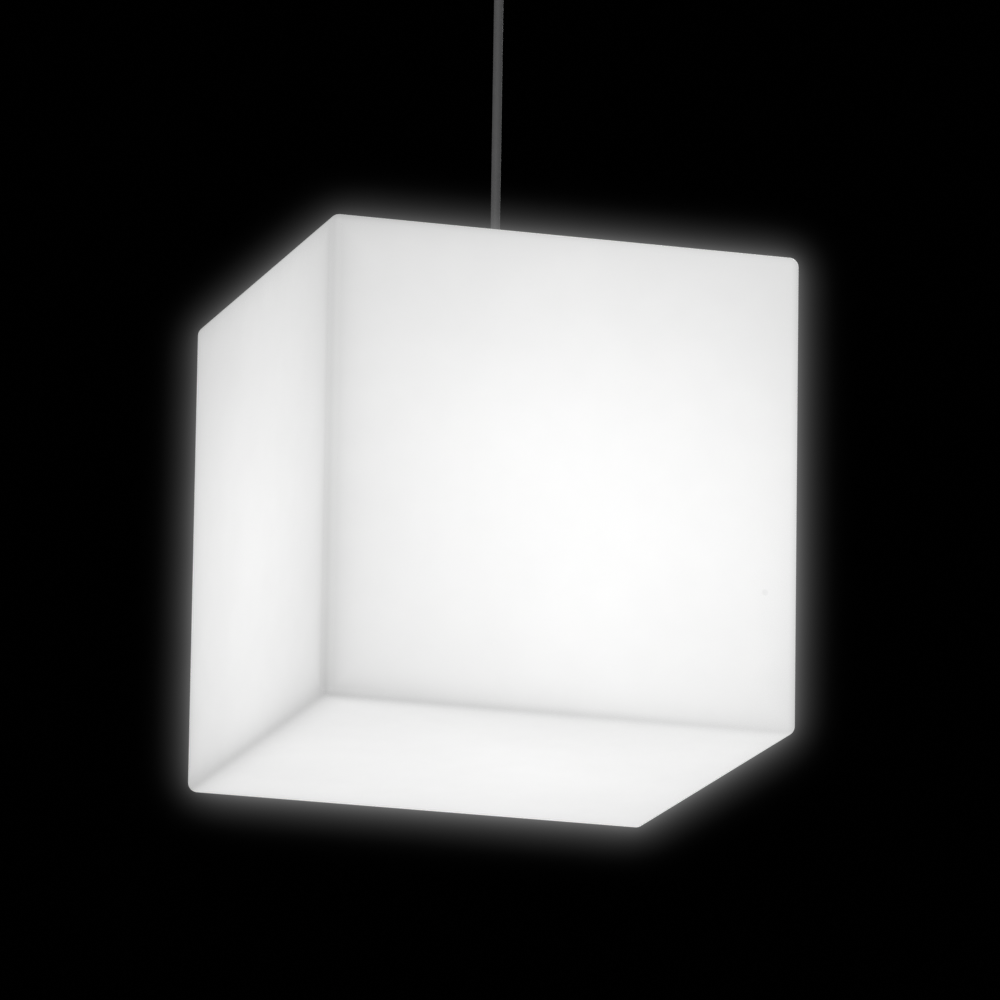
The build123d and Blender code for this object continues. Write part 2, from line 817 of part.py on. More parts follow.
# Lampholder: nipple, nut and toothed washer above the web
nipple_top = web_top + nipple_above
nipple_bottom = web_bottom - nipple_below
ring(
    "holder_nipple",
    [facing(nipple_top, -1)],
    nipple_radius,
    nipple_bore,
    nipple_top - nipple_bottom,
)
with BuildPart() as toothed_washer:
    with BuildSketch(facing(web_top, 1)):
        Circle(nipple_nut_flat + nipple_washer)
        with PolarLocations(nipple_nut_flat + nipple_washer, tooth_count):
            Circle(tooth_gap, mode=Mode.SUBTRACT)
        Circle(nipple_radius + fit_gap, mode=Mode.SUBTRACT)
    extrude(amount=nipple_washer)
keep(toothed_washer, "holder_toothed_washer")
hexagon_nut(
    "holder_nipple_nut",
    [facing(web_top + nipple_washer, 1)],
    nipple_nut_flat,
    nipple_radius + thread_gap,
    nipple_nut_height,
)

# Lampholder cap: a neck that takes the nipple, and a dome over the ceramic core
dome_radius_out = holder_radius - holder_neck_radius
dome_radius_in = dome_radius_out - holder_wall
dome_foot = holder_neck_height + dome_radius_in
cap_inner = holder_radius - holder_wall
with BuildPart() as holder_cap:
    with BuildSketch(upright(web_bottom, -1)):
        with BuildLine():
            neck_bore = nipple_radius + thread_gap
            Polyline(
                (holder_neck_radius, holder_neck_height),
                (neck_bore, holder_neck_height),
                (neck_bore, 0),
                (holder_neck_radius, 0),
                (holder_neck_radius, holder_neck_height - holder_wall),
            )
            CenterArc((holder_neck_radius, dome_foot), dome_radius_out, -90, 90)
            Polyline(
                (holder_radius, dome_foot),
                (holder_radius, cap_height),
                (cap_inner, cap_height),
                (cap_inner, dome_foot),
            )
            CenterArc((holder_neck_radius, dome_foot), dome_radius_in, 0, -90)
        make_face()
    revolve(axis=Axis.Z)
keep(holder_cap, "holder_cap")

# Ceramic core with its two terminals
core_top = core_bottom + core_disc_height
terminal_places = [(-terminal_offset, 0), (terminal_offset, 0)]
terminal_hole_depth = terminal_height * 0.8
terminal_screw_places = [(x, core_top + terminal_height / 2) for x, y in terminal_places]
with BuildPart() as holder_core:
    with BuildSketch(facing(core_bottom, 1)):
        Circle(core_disc_radius)
    extrude(amount=core_disc_height)
    chamfer(holder_core.edges().group_by(Axis.Z)[-1], length=small_chamfer)
    with BuildSketch(facing(core_top, -1)):
        with Locations((0, terminal_offset), (0, -terminal_offset)):
            SlotOverall(terminal_offset * 2, terminal_screw_radius * 2)
    extrude(amount=core_disc_height / 2, mode=Mode.SUBTRACT)
keep(holder_core, "holder_core")

with BuildPart() as holder_terminals:
    with BuildSketch(facing(core_top, 1)):
        with Locations(*terminal_places):
            RectangleRounded(terminal_side, terminal_side, terminal_corner)
    extrude(amount=terminal_height)
    with BuildSketch(facing(core_top + terminal_height, -1)):
        with Locations(*terminal_places):
            Circle(core_radius + fit_gap)
    extrude(amount=terminal_hole_depth, mode=Mode.SUBTRACT)
    with BuildSketch(Plane.XZ.offset(terminal_side / 2)):
        with Locations(*terminal_screw_places):
            Circle(terminal_screw_radius + thread_gap)
    extrude(amount=-terminal_side / 2, mode=Mode.SUBTRACT)
keep(holder_terminals, "holder_terminals")

with BuildPart() as holder_terminal_screws:
    with BuildSketch(Plane.XZ.offset(core_radius + fit_gap)):
        with Locations(*terminal_screw_places):
            Circle(terminal_screw_radius)
    extrude(amount=terminal_screw_length)
    with BuildSketch(Plane.XZ.offset(core_radius + fit_gap + terminal_screw_length)):
        with Locations(*terminal_screw_places):
            Rectangle(terminal_screw_radius * 2, terminal_screw_radius * driver_slot)
    extrude(amount=-terminal_screw_radius / 2, mode=Mode.SUBTRACT)
keep(holder_terminal_screws, "holder_terminal_screws")

# Lampholder body: a skirt whose shoulder carries the core, with grip flutes outside
skirt_bore = shell_radius + shell_steel + fit_gap
with BuildPart() as holder_body:
    with BuildSketch(facing(cap_bottom, -1)):
        Circle(holder_radius)
    extrude(amount=skirt_height)
    with BuildSketch(facing(cap_bottom, -1)):
        Circle(core_disc_radius + fit_gap)
    extrude(amount=shoulder_depth, mode=Mode.SUBTRACT)
    with BuildSketch(facing(cap_bottom, -1)):
        Circle(skirt_bore)
    extrude(amount=skirt_height, mode=Mode.SUBTRACT)
    with BuildSketch(facing(cap_bottom - holder_wall, -1)):
        with PolarLocations(holder_radius + grip_radius / 2, grip_count):
            Circle(grip_radius)
    extrude(amount=skirt_height / 2, mode=Mode.SUBTRACT)
    fillet(holder_body.edges().group_by(Axis.Z)[0].group_by(SortBy.RADIUS)[-1], radius=holder_wall)
keep(holder_body, "holder_body")

ring("screw_shell", [facing(core_bottom, -1)], shell_radius + shell_steel, shell_radius, shell_height)

with BuildPart() as centre_contact:
    with BuildSketch(facing(core_bottom, -1)):
        with Locations((contact_length / 2 - contact_width / 2, 0)):
            SlotOverall(contact_length, contact_width)
    extrude(amount=contact_steel)
keep(centre_contact, "centre_contact")

# Conductors of the lamp, from the end of the sheath through the nipple to the terminals
for name, side in (("live", -1), ("neutral", 1)):
    foot = lead_feet[lead_names.index(name)]
    end = core_top + terminal_height
    conductor(
        f"lamp_lead_{name}",
        [
            (foot[0], foot[1], lamp_tail_end),
            (foot[0], foot[1], lamp_tail_end - 8),
            (side * 7, -4, lamp_tail_end - 24),
            (side * 6, -2, lamp_tail_end - 48),
            (side * nipple_lead, 0, nipple_top + 8),
            (side * nipple_lead, 0, nipple_bottom - 2),
            (side * terminal_offset, 0, end + 3),
            (side * terminal_offset, 0, end - terminal_height / 2),
        ],
        core_radius,
    )
earth_foot = lead_feet[lead_names.index("earth")]
conductor(
    "lamp_lead_earth",
    [
        (earth_foot[0], earth_foot[1], lamp_tail_end),
        (earth_foot[0], earth_foot[1], lamp_tail_end - 7),
        (9, 6, lamp_tail_end - 17),
        (barrel_axis - 4, 4, lamp_tail_end - 27),
        (barrel_axis, 0, barrel_bottom + barrel_length + 2),
        (barrel_axis, 0, barrel_bottom + barrel_length / 3),
    ],
    core_radius,
)

# Bulb: contact, insulator, screw cap, body, board and opal globe
insulator_top = bulb_tip - bulb_tip_height
cap_top = insulator_top - bulb_insulator_height
cap_end = bulb_tip - bulb_cap_length
globe_rise = (bulb_radius**2 - bulb_neck_radius**2) ** 0.5
neck_end = bulb_centre + globe_rise
with BuildPart() as bulb_contact:
    with BuildSketch(facing(insulator_top, 1)):
        Circle(bulb_tip_radius)
    extrude(amount=bulb_tip_height)
    fillet(bulb_contact.edges().group_by(Axis.Z)[-1], radius=bulb_tip_height / 2)
keep(bulb_contact, "bulb_contact")

insulator_radius = bulb_cap_radius - bulb_cap_wall - joint_gap
with BuildPart() as bulb_insulator:
    with BuildSketch(upright(insulator_top, -1)):
        with BuildLine():
            Polyline(
                (0, 0),
                (bulb_tip_radius, 0),
                (bulb_insulator_shoulder, bulb_insulator_height),
                (insulator_radius, bulb_insulator_height),
                (insulator_radius, bulb_insulator_height + bulb_insulator_sink),
                (0, bulb_insulator_height + bulb_insulator_sink),
                close=True,
            )
        make_face()
    revolve(axis=Axis.Z)
keep(bulb_insulator, "bulb_insulator")

ring("bulb_cap", [facing(cap_top, -1)], bulb_cap_radius, bulb_cap_radius - bulb_cap_wall, cap_top - cap_end)

body_height = cap_end - neck_end
body_root = bulb_cap_radius - bulb_cap_wall
with BuildPart() as bulb_body:
    with BuildSketch(upright(cap_end, -1)):
        with BuildLine():
            body_top = (bulb_cap_radius + bulb_cap_wall, 0)
            body_rim = (bulb_neck_radius, body_height)
            Line((body_root, 0), body_top)
            TangentArc(body_top, body_rim, tangent=(0.25, 1))
            Polyline(
                body_rim,
                (0, body_height),
                (0, body_height - bulb_web),
                (bulb_neck_radius - bulb_body_wall * 2, body_height - bulb_web),
                (body_root, bulb_body_wall),
                (body_root, 0),
            )
        make_face()
    revolve(axis=Axis.Z)
keep(bulb_body, "bulb_body")

with BuildPart() as bulb_board:
    with BuildSketch(facing(neck_end, -1)):
        Circle(board_radius)
    extrude(amount=board_thickness)
    with BuildSketch(facing(neck_end - board_thickness, -1)):
        with PolarLocations(emitter_circle, emitter_count):
            Rectangle(emitter_side, emitter_side)
    extrude(amount=emitter_height)
keep(bulb_board, "bulb_board")

globe_inner = bulb_radius - bulb_wall
with BuildPart() as bulb_globe:
    with BuildSketch(upright(bulb_centre, -1)):
        with BuildLine():
            rim_out = (bulb_neck_radius, -globe_rise)
            inner_neck = bulb_neck_radius - bulb_wall
            rim_in = (inner_neck, -globe_rise)
            inner_side = (inner_neck, -((globe_inner**2 - inner_neck**2) ** 0.5))
            ThreePointArc(rim_out, (bulb_radius, 0), (0, bulb_radius))
            Line((0, bulb_radius), (0, globe_inner))
            ThreePointArc((0, globe_inner), (globe_inner, 0), inner_side)
            Line(inner_side, rim_in)
            Line(rim_in, rim_out)
        make_face()
    revolve(axis=Axis.Z)
keep(bulb_globe, "bulb_globe")

# Diffuser: one moulded shell of even wall, its top drawn in to a seat with six bosses
inner_side = cube_side - shell_wall * 2
with BuildPart() as cavity:
    with BuildSketch(facing(cube_bottom + shell_wall, 1)):
        Rectangle(inner_side, inner_side)
    extrude(amount=inner_side)
    fillet(cavity.edges(), radius=edge_radius - shell_wall)

insert_planes = [facing(seat_height, -1, x, y) for x, y in cover_screw_places]
with BuildPart() as diffuser_shell:
    with BuildSketch(facing(cube_bottom, 1)):
        Rectangle(cube_side, cube_side)
    extrude(amount=cube_side)
    fillet(diffuser_shell.edges(), radius=edge_radius)
    add(cavity.part, mode=Mode.SUBTRACT)
    with BuildSketch(facing(cube_top - shell_wall, -1)):
        Circle(seat_radius + shell_wall)
    extrude(amount=recess_depth)
    with BuildSketch(*insert_planes):
        Circle(boss_radius)
    extrude(amount=boss_height)
    with BuildSketch(facing(cube_top, -1)):
        Circle(seat_radius)
    extrude(amount=recess_depth, mode=Mode.SUBTRACT)
    with BuildSketch(facing(seat_height, -1)):
        Circle(opening_radius)
    extrude(amount=shell_wall, mode=Mode.SUBTRACT)
    with BuildSketch(*insert_planes):
        Circle(insert_radius + thread_gap)
    extrude(amount=insert_length, mode=Mode.SUBTRACT)
    rim = diffuser_shell.edges().filter_by(GeomType.CIRCLE).group_by(Axis.Z)[-1]
    fillet(rim.group_by(SortBy.RADIUS)[-1], radius=seat_edge_radius)
keep(diffuser_shell, "diffuser_shell")

ring("diffuser_inserts", insert_planes, insert_radius, cover_screw_radius + fit_gap, insert_length)

print(f"cube top {cube_top:.2f}, cube bottom {cube_bottom:.2f}")
print(f"pivots {top_pivot:.2f} and {bottom_pivot:.2f}")
print(f"canopy tail {canopy_tail_end:.2f}, lamp tail {lamp_tail_end:.2f}")
print(f"bulb tip {bulb_tip:.2f}, globe centre {bulb_centre:.2f}, holder core bottom {core_bottom:.2f}")
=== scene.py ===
import json
from math import cos, radians, sin, tau

import bmesh
import bpy
from mathutils import Matrix, Vector


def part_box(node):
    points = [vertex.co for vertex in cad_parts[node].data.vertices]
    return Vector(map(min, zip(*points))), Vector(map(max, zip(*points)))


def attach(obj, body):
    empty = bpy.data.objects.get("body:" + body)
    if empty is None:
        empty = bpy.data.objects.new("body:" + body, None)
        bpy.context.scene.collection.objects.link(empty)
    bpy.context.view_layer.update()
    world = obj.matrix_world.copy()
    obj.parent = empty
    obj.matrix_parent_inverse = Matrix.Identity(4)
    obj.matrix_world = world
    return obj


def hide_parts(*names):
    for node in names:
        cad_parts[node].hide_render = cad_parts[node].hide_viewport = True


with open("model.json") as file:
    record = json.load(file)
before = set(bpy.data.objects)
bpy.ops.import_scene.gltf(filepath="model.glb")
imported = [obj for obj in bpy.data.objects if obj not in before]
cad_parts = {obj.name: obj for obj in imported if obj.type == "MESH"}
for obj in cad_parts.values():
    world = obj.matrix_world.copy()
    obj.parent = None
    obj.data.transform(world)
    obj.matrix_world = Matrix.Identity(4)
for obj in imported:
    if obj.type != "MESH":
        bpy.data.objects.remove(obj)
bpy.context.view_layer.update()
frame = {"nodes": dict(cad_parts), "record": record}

MM = 0.001
INCH = 25.4 * MM

# Sizes that are repeated from the part
CUBE_HALF = 200 * MM
CUBE_MIDDLE = Vector((0, 0, -563 * MM))
TOP_PIVOT = -70.5 * MM
BOTTOM_PIVOT = -340.5 * MM
CORD_RADIUS = 3.8 * MM
STUD_SPACING = 88 * MM
STUD_RADIUS = 2 * MM
STUD_LENGTH = 54 * MM
STUD_PITCH = 0.7 * MM
NIPPLE_RADIUS = 5 * MM
NIPPLE_BORE = 3.5 * MM
NIPPLE_PITCH = 1.0 * MM
BULB_CAP_RADIUS = 13.1 * MM
SHELL_OUTSIDE = 14 * MM

# Colours that more than one finish uses
BLACK = (0.0, 0.0, 0.0, 1.0)
WHITE = (1.0, 1.0, 1.0, 1.0)


def placed(name, data):
    """A new object in the scene."""
    made = bpy.data.objects.new(name, data)
    bpy.context.scene.collection.objects.link(made)
    return made


# The camera, where the photo was taken from: metres, degrees and millimetres
CAMERA_PLACE = (-2.539, -8.144, -2.614)
CAMERA_TURN = 17.365
CAMERA_PITCH = 13.667
CAMERA_ROLL = 0.869
CAMERA_SENSOR = 36
CAMERA_LENS = 382.97
CAMERA_REACH = 60

camera = placed("camera", bpy.data.cameras.new("camera"))
camera.data.sensor_width = CAMERA_SENSOR
camera.data.lens = CAMERA_LENS
camera.data.clip_end = CAMERA_REACH
camera.matrix_world = (
    Matrix.Translation(CAMERA_PLACE)
    @ Matrix.Rotation(radians(-CAMERA_TURN), 4, "Z")
    @ Matrix.Rotation(radians(90 + CAMERA_PITCH), 4, "X")
    @ Matrix.Rotation(radians(CAMERA_ROLL), 4, "Z")
)
bpy.context.scene.camera = camera


# Shader maths


class Value:
    """A number or vector in a finish. Plain arithmetic on it adds Math nodes."""

    def __init__(self, finish, socket):
        self.finish = finish
        self.socket = socket

    def math(self, operation, *values, clamp=False):
        settings = {"operation": operation, "use_clamp": clamp}
        return self.finish.node("ShaderNodeMath", settings, dict(enumerate(values)))

    def __add__(self, other):
        return self.math("ADD", self, other)

    def __sub__(self, other):
        return self.math("SUBTRACT", self, other)

    def __rsub__(self, other):
        return self.math("SUBTRACT", other, self)

    def __mul__(self, other):
        return self.math("MULTIPLY", self, other)

    def __truediv__(self, other):
        return self.math("DIVIDE", self, other)

    def __pow__(self, other):
        return self.math("POWER", self, other)

    def __abs__(self):
        return self.math("ABSOLUTE", self)

    __radd__ = __add__
    __rmul__ = __mul__

    def least(self, other):
        return self.math("MINIMUM", self, other)

    def most(self, other):
        return self.math("MAXIMUM", self, other)

    def clamped(self):
        return self.math("ADD", self, 0.0, clamp=True)

    def faded(self):
        """e to the power of minus this."""
        return self.math("EXPONENT", 0 - self)

    def above(self, low, high):
        """0 below low, 1 above high and even between them."""
        return ((self - low) / (high - low)).clamped()


class Finish:
    """A material: its fixed socket values, and nodes for what varies over the surface."""

    def __init__(self, name, **fixed):
        self.material = bpy.data.materials.new(name)
        self.material.use_nodes = True
        self.tree = self.material.node_tree
        self.shader = self.tree.nodes["Principled BSDF"]
        for socket, value in fixed.items():
            self.shader.inputs[socket.replace("_", " ")].default_value = value
        self.place = self.node("ShaderNodeTexCoord", output="Object")

    def node(self, kind, settings=None, sockets=None, output=0):
        """Adds a node: its settings first, then the values or links of its sockets."""
        node = self.tree.nodes.new(kind)
        for name, value in (settings or {}).items():
            setattr(node, name, value)
        for name, value in (sockets or {}).items():
            self.feed(node.inputs[name], value)
        return Value(self, node.outputs[output])

    def feed(self, socket, value):
        if isinstance(value, Value):
            self.tree.links.new(value.socket, socket)
        else:
            socket.default_value = value

    def set(self, name, value):
        self.feed(self.shader.inputs[name], value)

    def vector(self, operation, first, second):
        return self.node("ShaderNodeVectorMath", {"operation": operation}, {0: first, 1: second})

    def parts(self, vector):
        """The X, Y and Z of a vector."""
        return [self.node("ShaderNodeSeparateXYZ", sockets={0: vector}, output=n) for n in range(3)]

    def noise(self, per_metre, detail=2.0, stretch=(1, 1, 1), place=None):
        """Soft noise from 0 to 1, so many lumps to the metre."""
        stretched = self.vector("MULTIPLY", place or self.place, stretch)
        sockets = {"Vector": stretched, "Scale": per_metre, "Detail": detail}
        return self.node("ShaderNodeTexNoise", sockets=sockets, output="Fac")

    def specks(self, per_metre, size, share=0.5):
        """Small round spots of different strength: 1 in the middle of a spot, 0 outside."""
        sockets = {"Vector": self.place, "Scale": per_metre}
        distance = self.node("ShaderNodeTexVoronoi", sockets=sockets, output="Distance")
        chance = self.noise(per_metre * 0.31, 0.0).above(1 - share, 1.2 - share)
        return (1 - distance.above(size * 0.5, size)) * chance

    def rounded(self, radius):
        """The surface's direction, as if its edges were rounded."""
        return self.node("ShaderNodeBevel", {"samples": 4}, {"Radius": radius})

    def edges(self, radius, strength):
        """1 on an outer edge that is sharper than the radius, 0 on flat faces."""
        soft = self.rounded(radius)
        sharp = self.node("ShaderNodeNewGeometry", output="Normal")
        turn = self.node("ShaderNodeVectorMath", {"operation": "DOT_PRODUCT"}, {0: soft, 1: sharp}, "Value")
        return ((1 - turn) * strength).clamped()

    def colours(self, share, first, second):
        """A colour between two, by a share from 0 to 1."""
        sockets = {0: share, 6: first, 7: second}
        return self.node("ShaderNodeMix", {"data_type": "RGBA"}, sockets, 2)

    def bump(self, height, distance, strength=1.0, radius=None):
        """Bumps of the given height in metres. With a radius, sharp edges are shaded as if rounded."""
        sockets = {"Height": height, "Distance": distance, "Strength": strength}
        if radius:
            sockets["Normal"] = self.rounded(radius)
        self.set("Normal", self.node("ShaderNodeBump", sockets=sockets))


def shade(colour, factor):
    """A colour made lighter or darker."""
    return tuple(min(1.0, c * factor) for c in colour[:3]) + (1.0,)


def moulded(name, colour, roughness=0.42, grain=1.0, wear=0.25):
    """Injection-moulded plastic: fine grain, faint flow marks, rubbed edges and a little dust."""
    finish = Finish(name, IOR=1.49)
    cloud = finish.noise(18.0, 3.0)
    flow = finish.noise(60.0, 3.0, (1, 1, 0.25))
    grit = finish.noise(1900.0, 2.0)
    edge = finish.edges(0.5 * MM, 2.5)
    dust = finish.specks(420.0, 0.16, 0.4)
    body = finish.colours(cloud * 0.6 + flow * 0.4, shade(colour, 0.87), shade(colour, 1.06))
    rubbed = finish.colours(edge * wear, body, shade(colour, 1.35))
    dusty = finish.colours(dust * 0.3, rubbed, (0.32, 0.31, 0.29, 1.0))
    finish.set("Base Color", dusty)
    finish.set("Roughness", roughness + (flow - 0.5) * 0.16 + (grit - 0.5) * 0.12 * grain - edge * 0.12)
    finish.bump(grit * 0.7 * grain + flow * 0.5 + dust * 0.4, 0.16 * MM, 0.6, 0.3 * MM)
    return finish.material


def rubber(name, colour, roughness=0.62, stretch=(1, 1, 1), dust=0.2):
    """Moulded or extruded rubber: matt, fine pits, faint draw lines and pale dust."""
    finish = Finish(name, IOR=1.47)
    lines = finish.noise(700.0, 2.0, stretch)
    cloud = finish.noise(35.0, 3.0)
    pits = finish.specks(1500.0, 0.3, 0.55)
    pale = finish.noise(260.0, 4.0).above(0.52, 0.75)
    body = finish.colours(cloud * 0.5 + lines * 0.5, shade(colour, 0.86), shade(colour, 1.12))
    dusty = finish.colours(pale * dust, body, shade(colour, 1.9))
    finish.set("Base Color", finish.colours(pits * 0.35, dusty, shade(colour, 0.5)))
    finish.set("Roughness", roughness + (lines - 0.5) * 0.2 + pale * 0.1)
    finish.bump(lines * 0.6 - pits * 0.5 + pale * 0.2, 0.06 * MM, 0.6, 0.3 * MM)
    return finish.material


def metal(name, colour, roughness, tint, stretch=(1, 1, 1), spangle=0.0):
    """Plated, brushed or turned metal: machining lines, handling marks and dull spots."""
    finish = Finish(name, Metallic=1.0)
    lines = finish.noise(900.0, 3.0, stretch)
    cloud = finish.noise(70.0, 4.0)
    dull = finish.noise(240.0, 5.0).above(0.5, 0.72)
    edge = finish.edges(0.35 * MM, 3.0)
    cells = finish.node(
        "ShaderNodeTexVoronoi", sockets={"Vector": finish.place, "Scale": 420.0}, output="Color"
    )
    grains = finish.parts(cells)[0]
    body = finish.colours(cloud * 0.7 + grains * spangle, shade(colour, 0.88), shade(colour, 1.08))
    tinted = finish.colours(dull * 0.35, body, tint)
    finish.set("Base Color", finish.colours(edge * 0.3, tinted, shade(colour, 1.3)))
    finish.set(
        "Roughness", roughness + (lines - 0.5) * 0.22 + dull * 0.14 + grains * spangle * 0.2 - edge * 0.1
    )
    finish.bump(lines * 0.5 + dull * 0.2 + grains * spangle * 0.3, 0.03 * MM, 0.5, 0.25 * MM)
    return finish.material


def insulation(name, colour, stripe=None):
    """Insulation of a conductor, with a stripe along one side if it has two colours."""
    finish = Finish(name, IOR=1.5)
    cloud = finish.noise(150.0, 3.0)
    lines = finish.noise(1400.0, 2.0, (1, 1, 0.1))
    body = finish.colours(cloud, shade(colour, 0.88), shade(colour, 1.1))
    if stripe:
        facing = finish.parts(finish.node("ShaderNodeTexCoord", output="Normal"))
        side = (facing[0] * 0.9 + facing[1] * 0.45).above(0.25, 0.32)
        body = finish.colours(side, body, stripe)
    finish.set("Base Color", body)
    finish.set("Roughness", 0.38 + (lines - 0.5) * 0.2)
    finish.bump(lines, 0.02 * MM, 0.4)
    return finish.material


# The studio's even light, and what the shell throws back of it, of the softboxes and of the floor
WORLD_LIGHT = 0.25
SHELL_DARKEST = (0.60, 0.60, 0.60, 1.0)
SHELL_PALEST = (0.64, 0.64, 0.64, 1.0)
SHELL_WHITENESS = 0.62
SOFTBOXES_AND_FLOOR = 0.105
SHELL_REFLECTS = SHELL_WHITENESS * WORLD_LIGHT + SOFTBOXES_AND_FLOOR
TOP_REFLECTS = 0.12  # what the upper face throws back besides

# The lit shell's brightness: bright where the bulb is near, dim at the edges
LIGHT_MIDDLE = Vector((30 * MM, 0, -606 * MM))
LIGHT_BASE = 0.72  # light that reaches every face
LIGHT_BULB = 2.65  # light straight from the bulb
BELOW_SHARE = 0.65  # of the bulb's light, kept from the lower face
BELOW_BASE = 1.15  # even light that the lower face has instead
EDGE_DARK = 0.11  # how much dimmer an edge is
CORNER_SHARE = 0.5  # how much dimmer still a corner is, over the edge
EDGE_WIDTH = 11 * MM
EDGE_SOFT = 3 * MM  # the middle of an edge, where the dimness is rounded off
EDGE_LEAN = 0.55  # dimmer edges on the left
EDGE_FOOT = 0.35  # dimmer edges at the foot

# Heights on the bulb: where its globe starts to glow, where it glows in full, and its light sources' faces
GLOBE_NECK = -566 * MM
GLOBE_BRIGHT = -620 * MM
CHIP_FACE = -568.0 * MM
CHIP_FOOT = -567.2 * MM


def glowing_shell():
    """Rotationally moulded polyethylene, lit from inside."""
    finish = Finish("shell_polyethylene", Emission_Strength=1.0, IOR=1.5, Specular_IOR_Level=0.12)
    normal = finish.node("ShaderNodeTexCoord", output="Normal")
    away = finish.vector("SUBTRACT", finish.place, LIGHT_MIDDLE)
    length = finish.node("ShaderNodeVectorMath", {"operation": "LENGTH"}, {0: away}, "Value")
    offset = LIGHT_MIDDLE - CUBE_MIDDLE
    aside = finish.node("ShaderNodeVectorMath", {"operation": "DOT_PRODUCT"}, {0: normal, 1: offset}, "Value")
    rise = finish.parts(normal)[2]
    down = (0 - rise).clamped()
    direct = (CUBE_HALF - aside) / length**3 * CUBE_HALF**2 * (1 - down * BELOW_SHARE)
    across = finish.parts(finish.vector("SUBTRACT", finish.place, CUBE_MIDDLE))
    depths = [CUBE_HALF - abs(side) for side in across]
    low = depths[0].least(depths[1]).least(depths[2])
    high = depths[0].most(depths[1]).most(depths[2])
    middle = depths[0] + depths[1] + depths[2] - low - high
    from_edge = ((middle - low) ** 2 + EDGE_SOFT**2) ** 0.5 - EDGE_SOFT
    corner = (from_edge / EDGE_WIDTH).faded() + ((high - low) / EDGE_WIDTH).faded() * CORNER_SHARE
    lean = 1 - across[0] * (EDGE_LEAN / CUBE_HALF) - across[2] * (EDGE_FOOT / CUBE_HALF)
    mottle = finish.noise(42.0, 4.0)
    cloud = finish.noise(9.0, 2.0)
    blemish = finish.specks(17.0, 0.055, 0.42)
    inside = LIGHT_BASE + LIGHT_BULB * direct + BELOW_BASE * down
    light = 1 - inside.faded() - corner * lean * EDGE_DARK
    uneven = light * (0.965 + mottle * 0.035 + cloud * 0.035) - blemish * 0.12
    level = (uneven - SHELL_REFLECTS - rise.clamped() * TOP_REFLECTS).clamped()
    finish.set("Emission Color", finish.colours(level, BLACK, WHITE))
    shine = finish.noise(240.0, 3.0)
    finish.set("Base Color", finish.colours(cloud, SHELL_DARKEST, SHELL_PALEST))
    finish.set("Roughness", 0.48 + (shine - 0.5) * 0.14 + blemish * 0.1)
    finish.bump(mottle * 0.8 + shine * 0.2 + blemish * 0.5, 0.25 * MM, 0.5)
    return finish.material


def opal():
    """The bulb's opal globe, lit from inside and dimmer near its neck."""
    finish = Finish("opal_plastic", IOR=1.5, Emission_Strength=0.85)
    height = finish.parts(finish.place)[2]
    cloud = finish.noise(30.0, 2.0)
    haze = finish.noise(160.0, 3.0)
    dust = finish.specks(300.0, 0.12, 0.35)
    level = height.above(GLOBE_NECK, GLOBE_BRIGHT) * 0.3 + 0.66 + cloud * 0.02 - dust * 0.05
    finish.set("Emission Color", finish.colours(level.clamped(), BLACK, (1.0, 0.97, 0.92, 1)))
    finish.set("Base Color", finish.colours(cloud, (0.78, 0.77, 0.74, 1), (0.86, 0.85, 0.82, 1)))
    finish.set("Roughness", 0.2 + haze * 0.12 + dust * 0.3)
    finish.bump(haze * 0.6 + dust, 0.05 * MM, 0.4)
    return finish.material


def board():
    """White solder mask with yellow light sources on its underside."""
    finish = Finish("board_aluminium", Emission_Strength=3.0)
    height = finish.parts(finish.place)[2]
    chip = 1 - height.above(CHIP_FACE, CHIP_FOOT)
    cloud = finish.noise(120.0, 2.0)
    mask = finish.colours(cloud, (0.74, 0.74, 0.73, 1), (0.82, 0.82, 0.81, 1))
    finish.set("Base Color", finish.colours(chip, mask, (0.85, 0.66, 0.12, 1)))
    finish.set("Emission Color", finish.colours(chip, BLACK, (1.0, 0.93, 0.75, 1)))
    finish.set("Roughness", 0.34 + cloud * 0.14)
    finish.bump(cloud, 0.03 * MM, 0.4)
    return finish.material


def ceramic():
    """Glazed ceramic with small dark specks."""
    finish = Finish("ceramic", IOR=1.55, Coat_Weight=0.4, Coat_Roughness=0.1)
    cloud = finish.noise(90.0, 3.0)
    speck = finish.specks(900.0, 0.18, 0.35)
    glaze = finish.colours(cloud, (0.74, 0.71, 0.63, 1), (0.84, 0.81, 0.74, 1))
    finish.set("Base Color", finish.colours(speck * 0.6, glaze, (0.25, 0.2, 0.16, 1)))
    finish.set("Roughness", 0.28 + cloud * 0.1)
    finish.bump(cloud, 0.1 * MM, 0.4)
    return finish.material


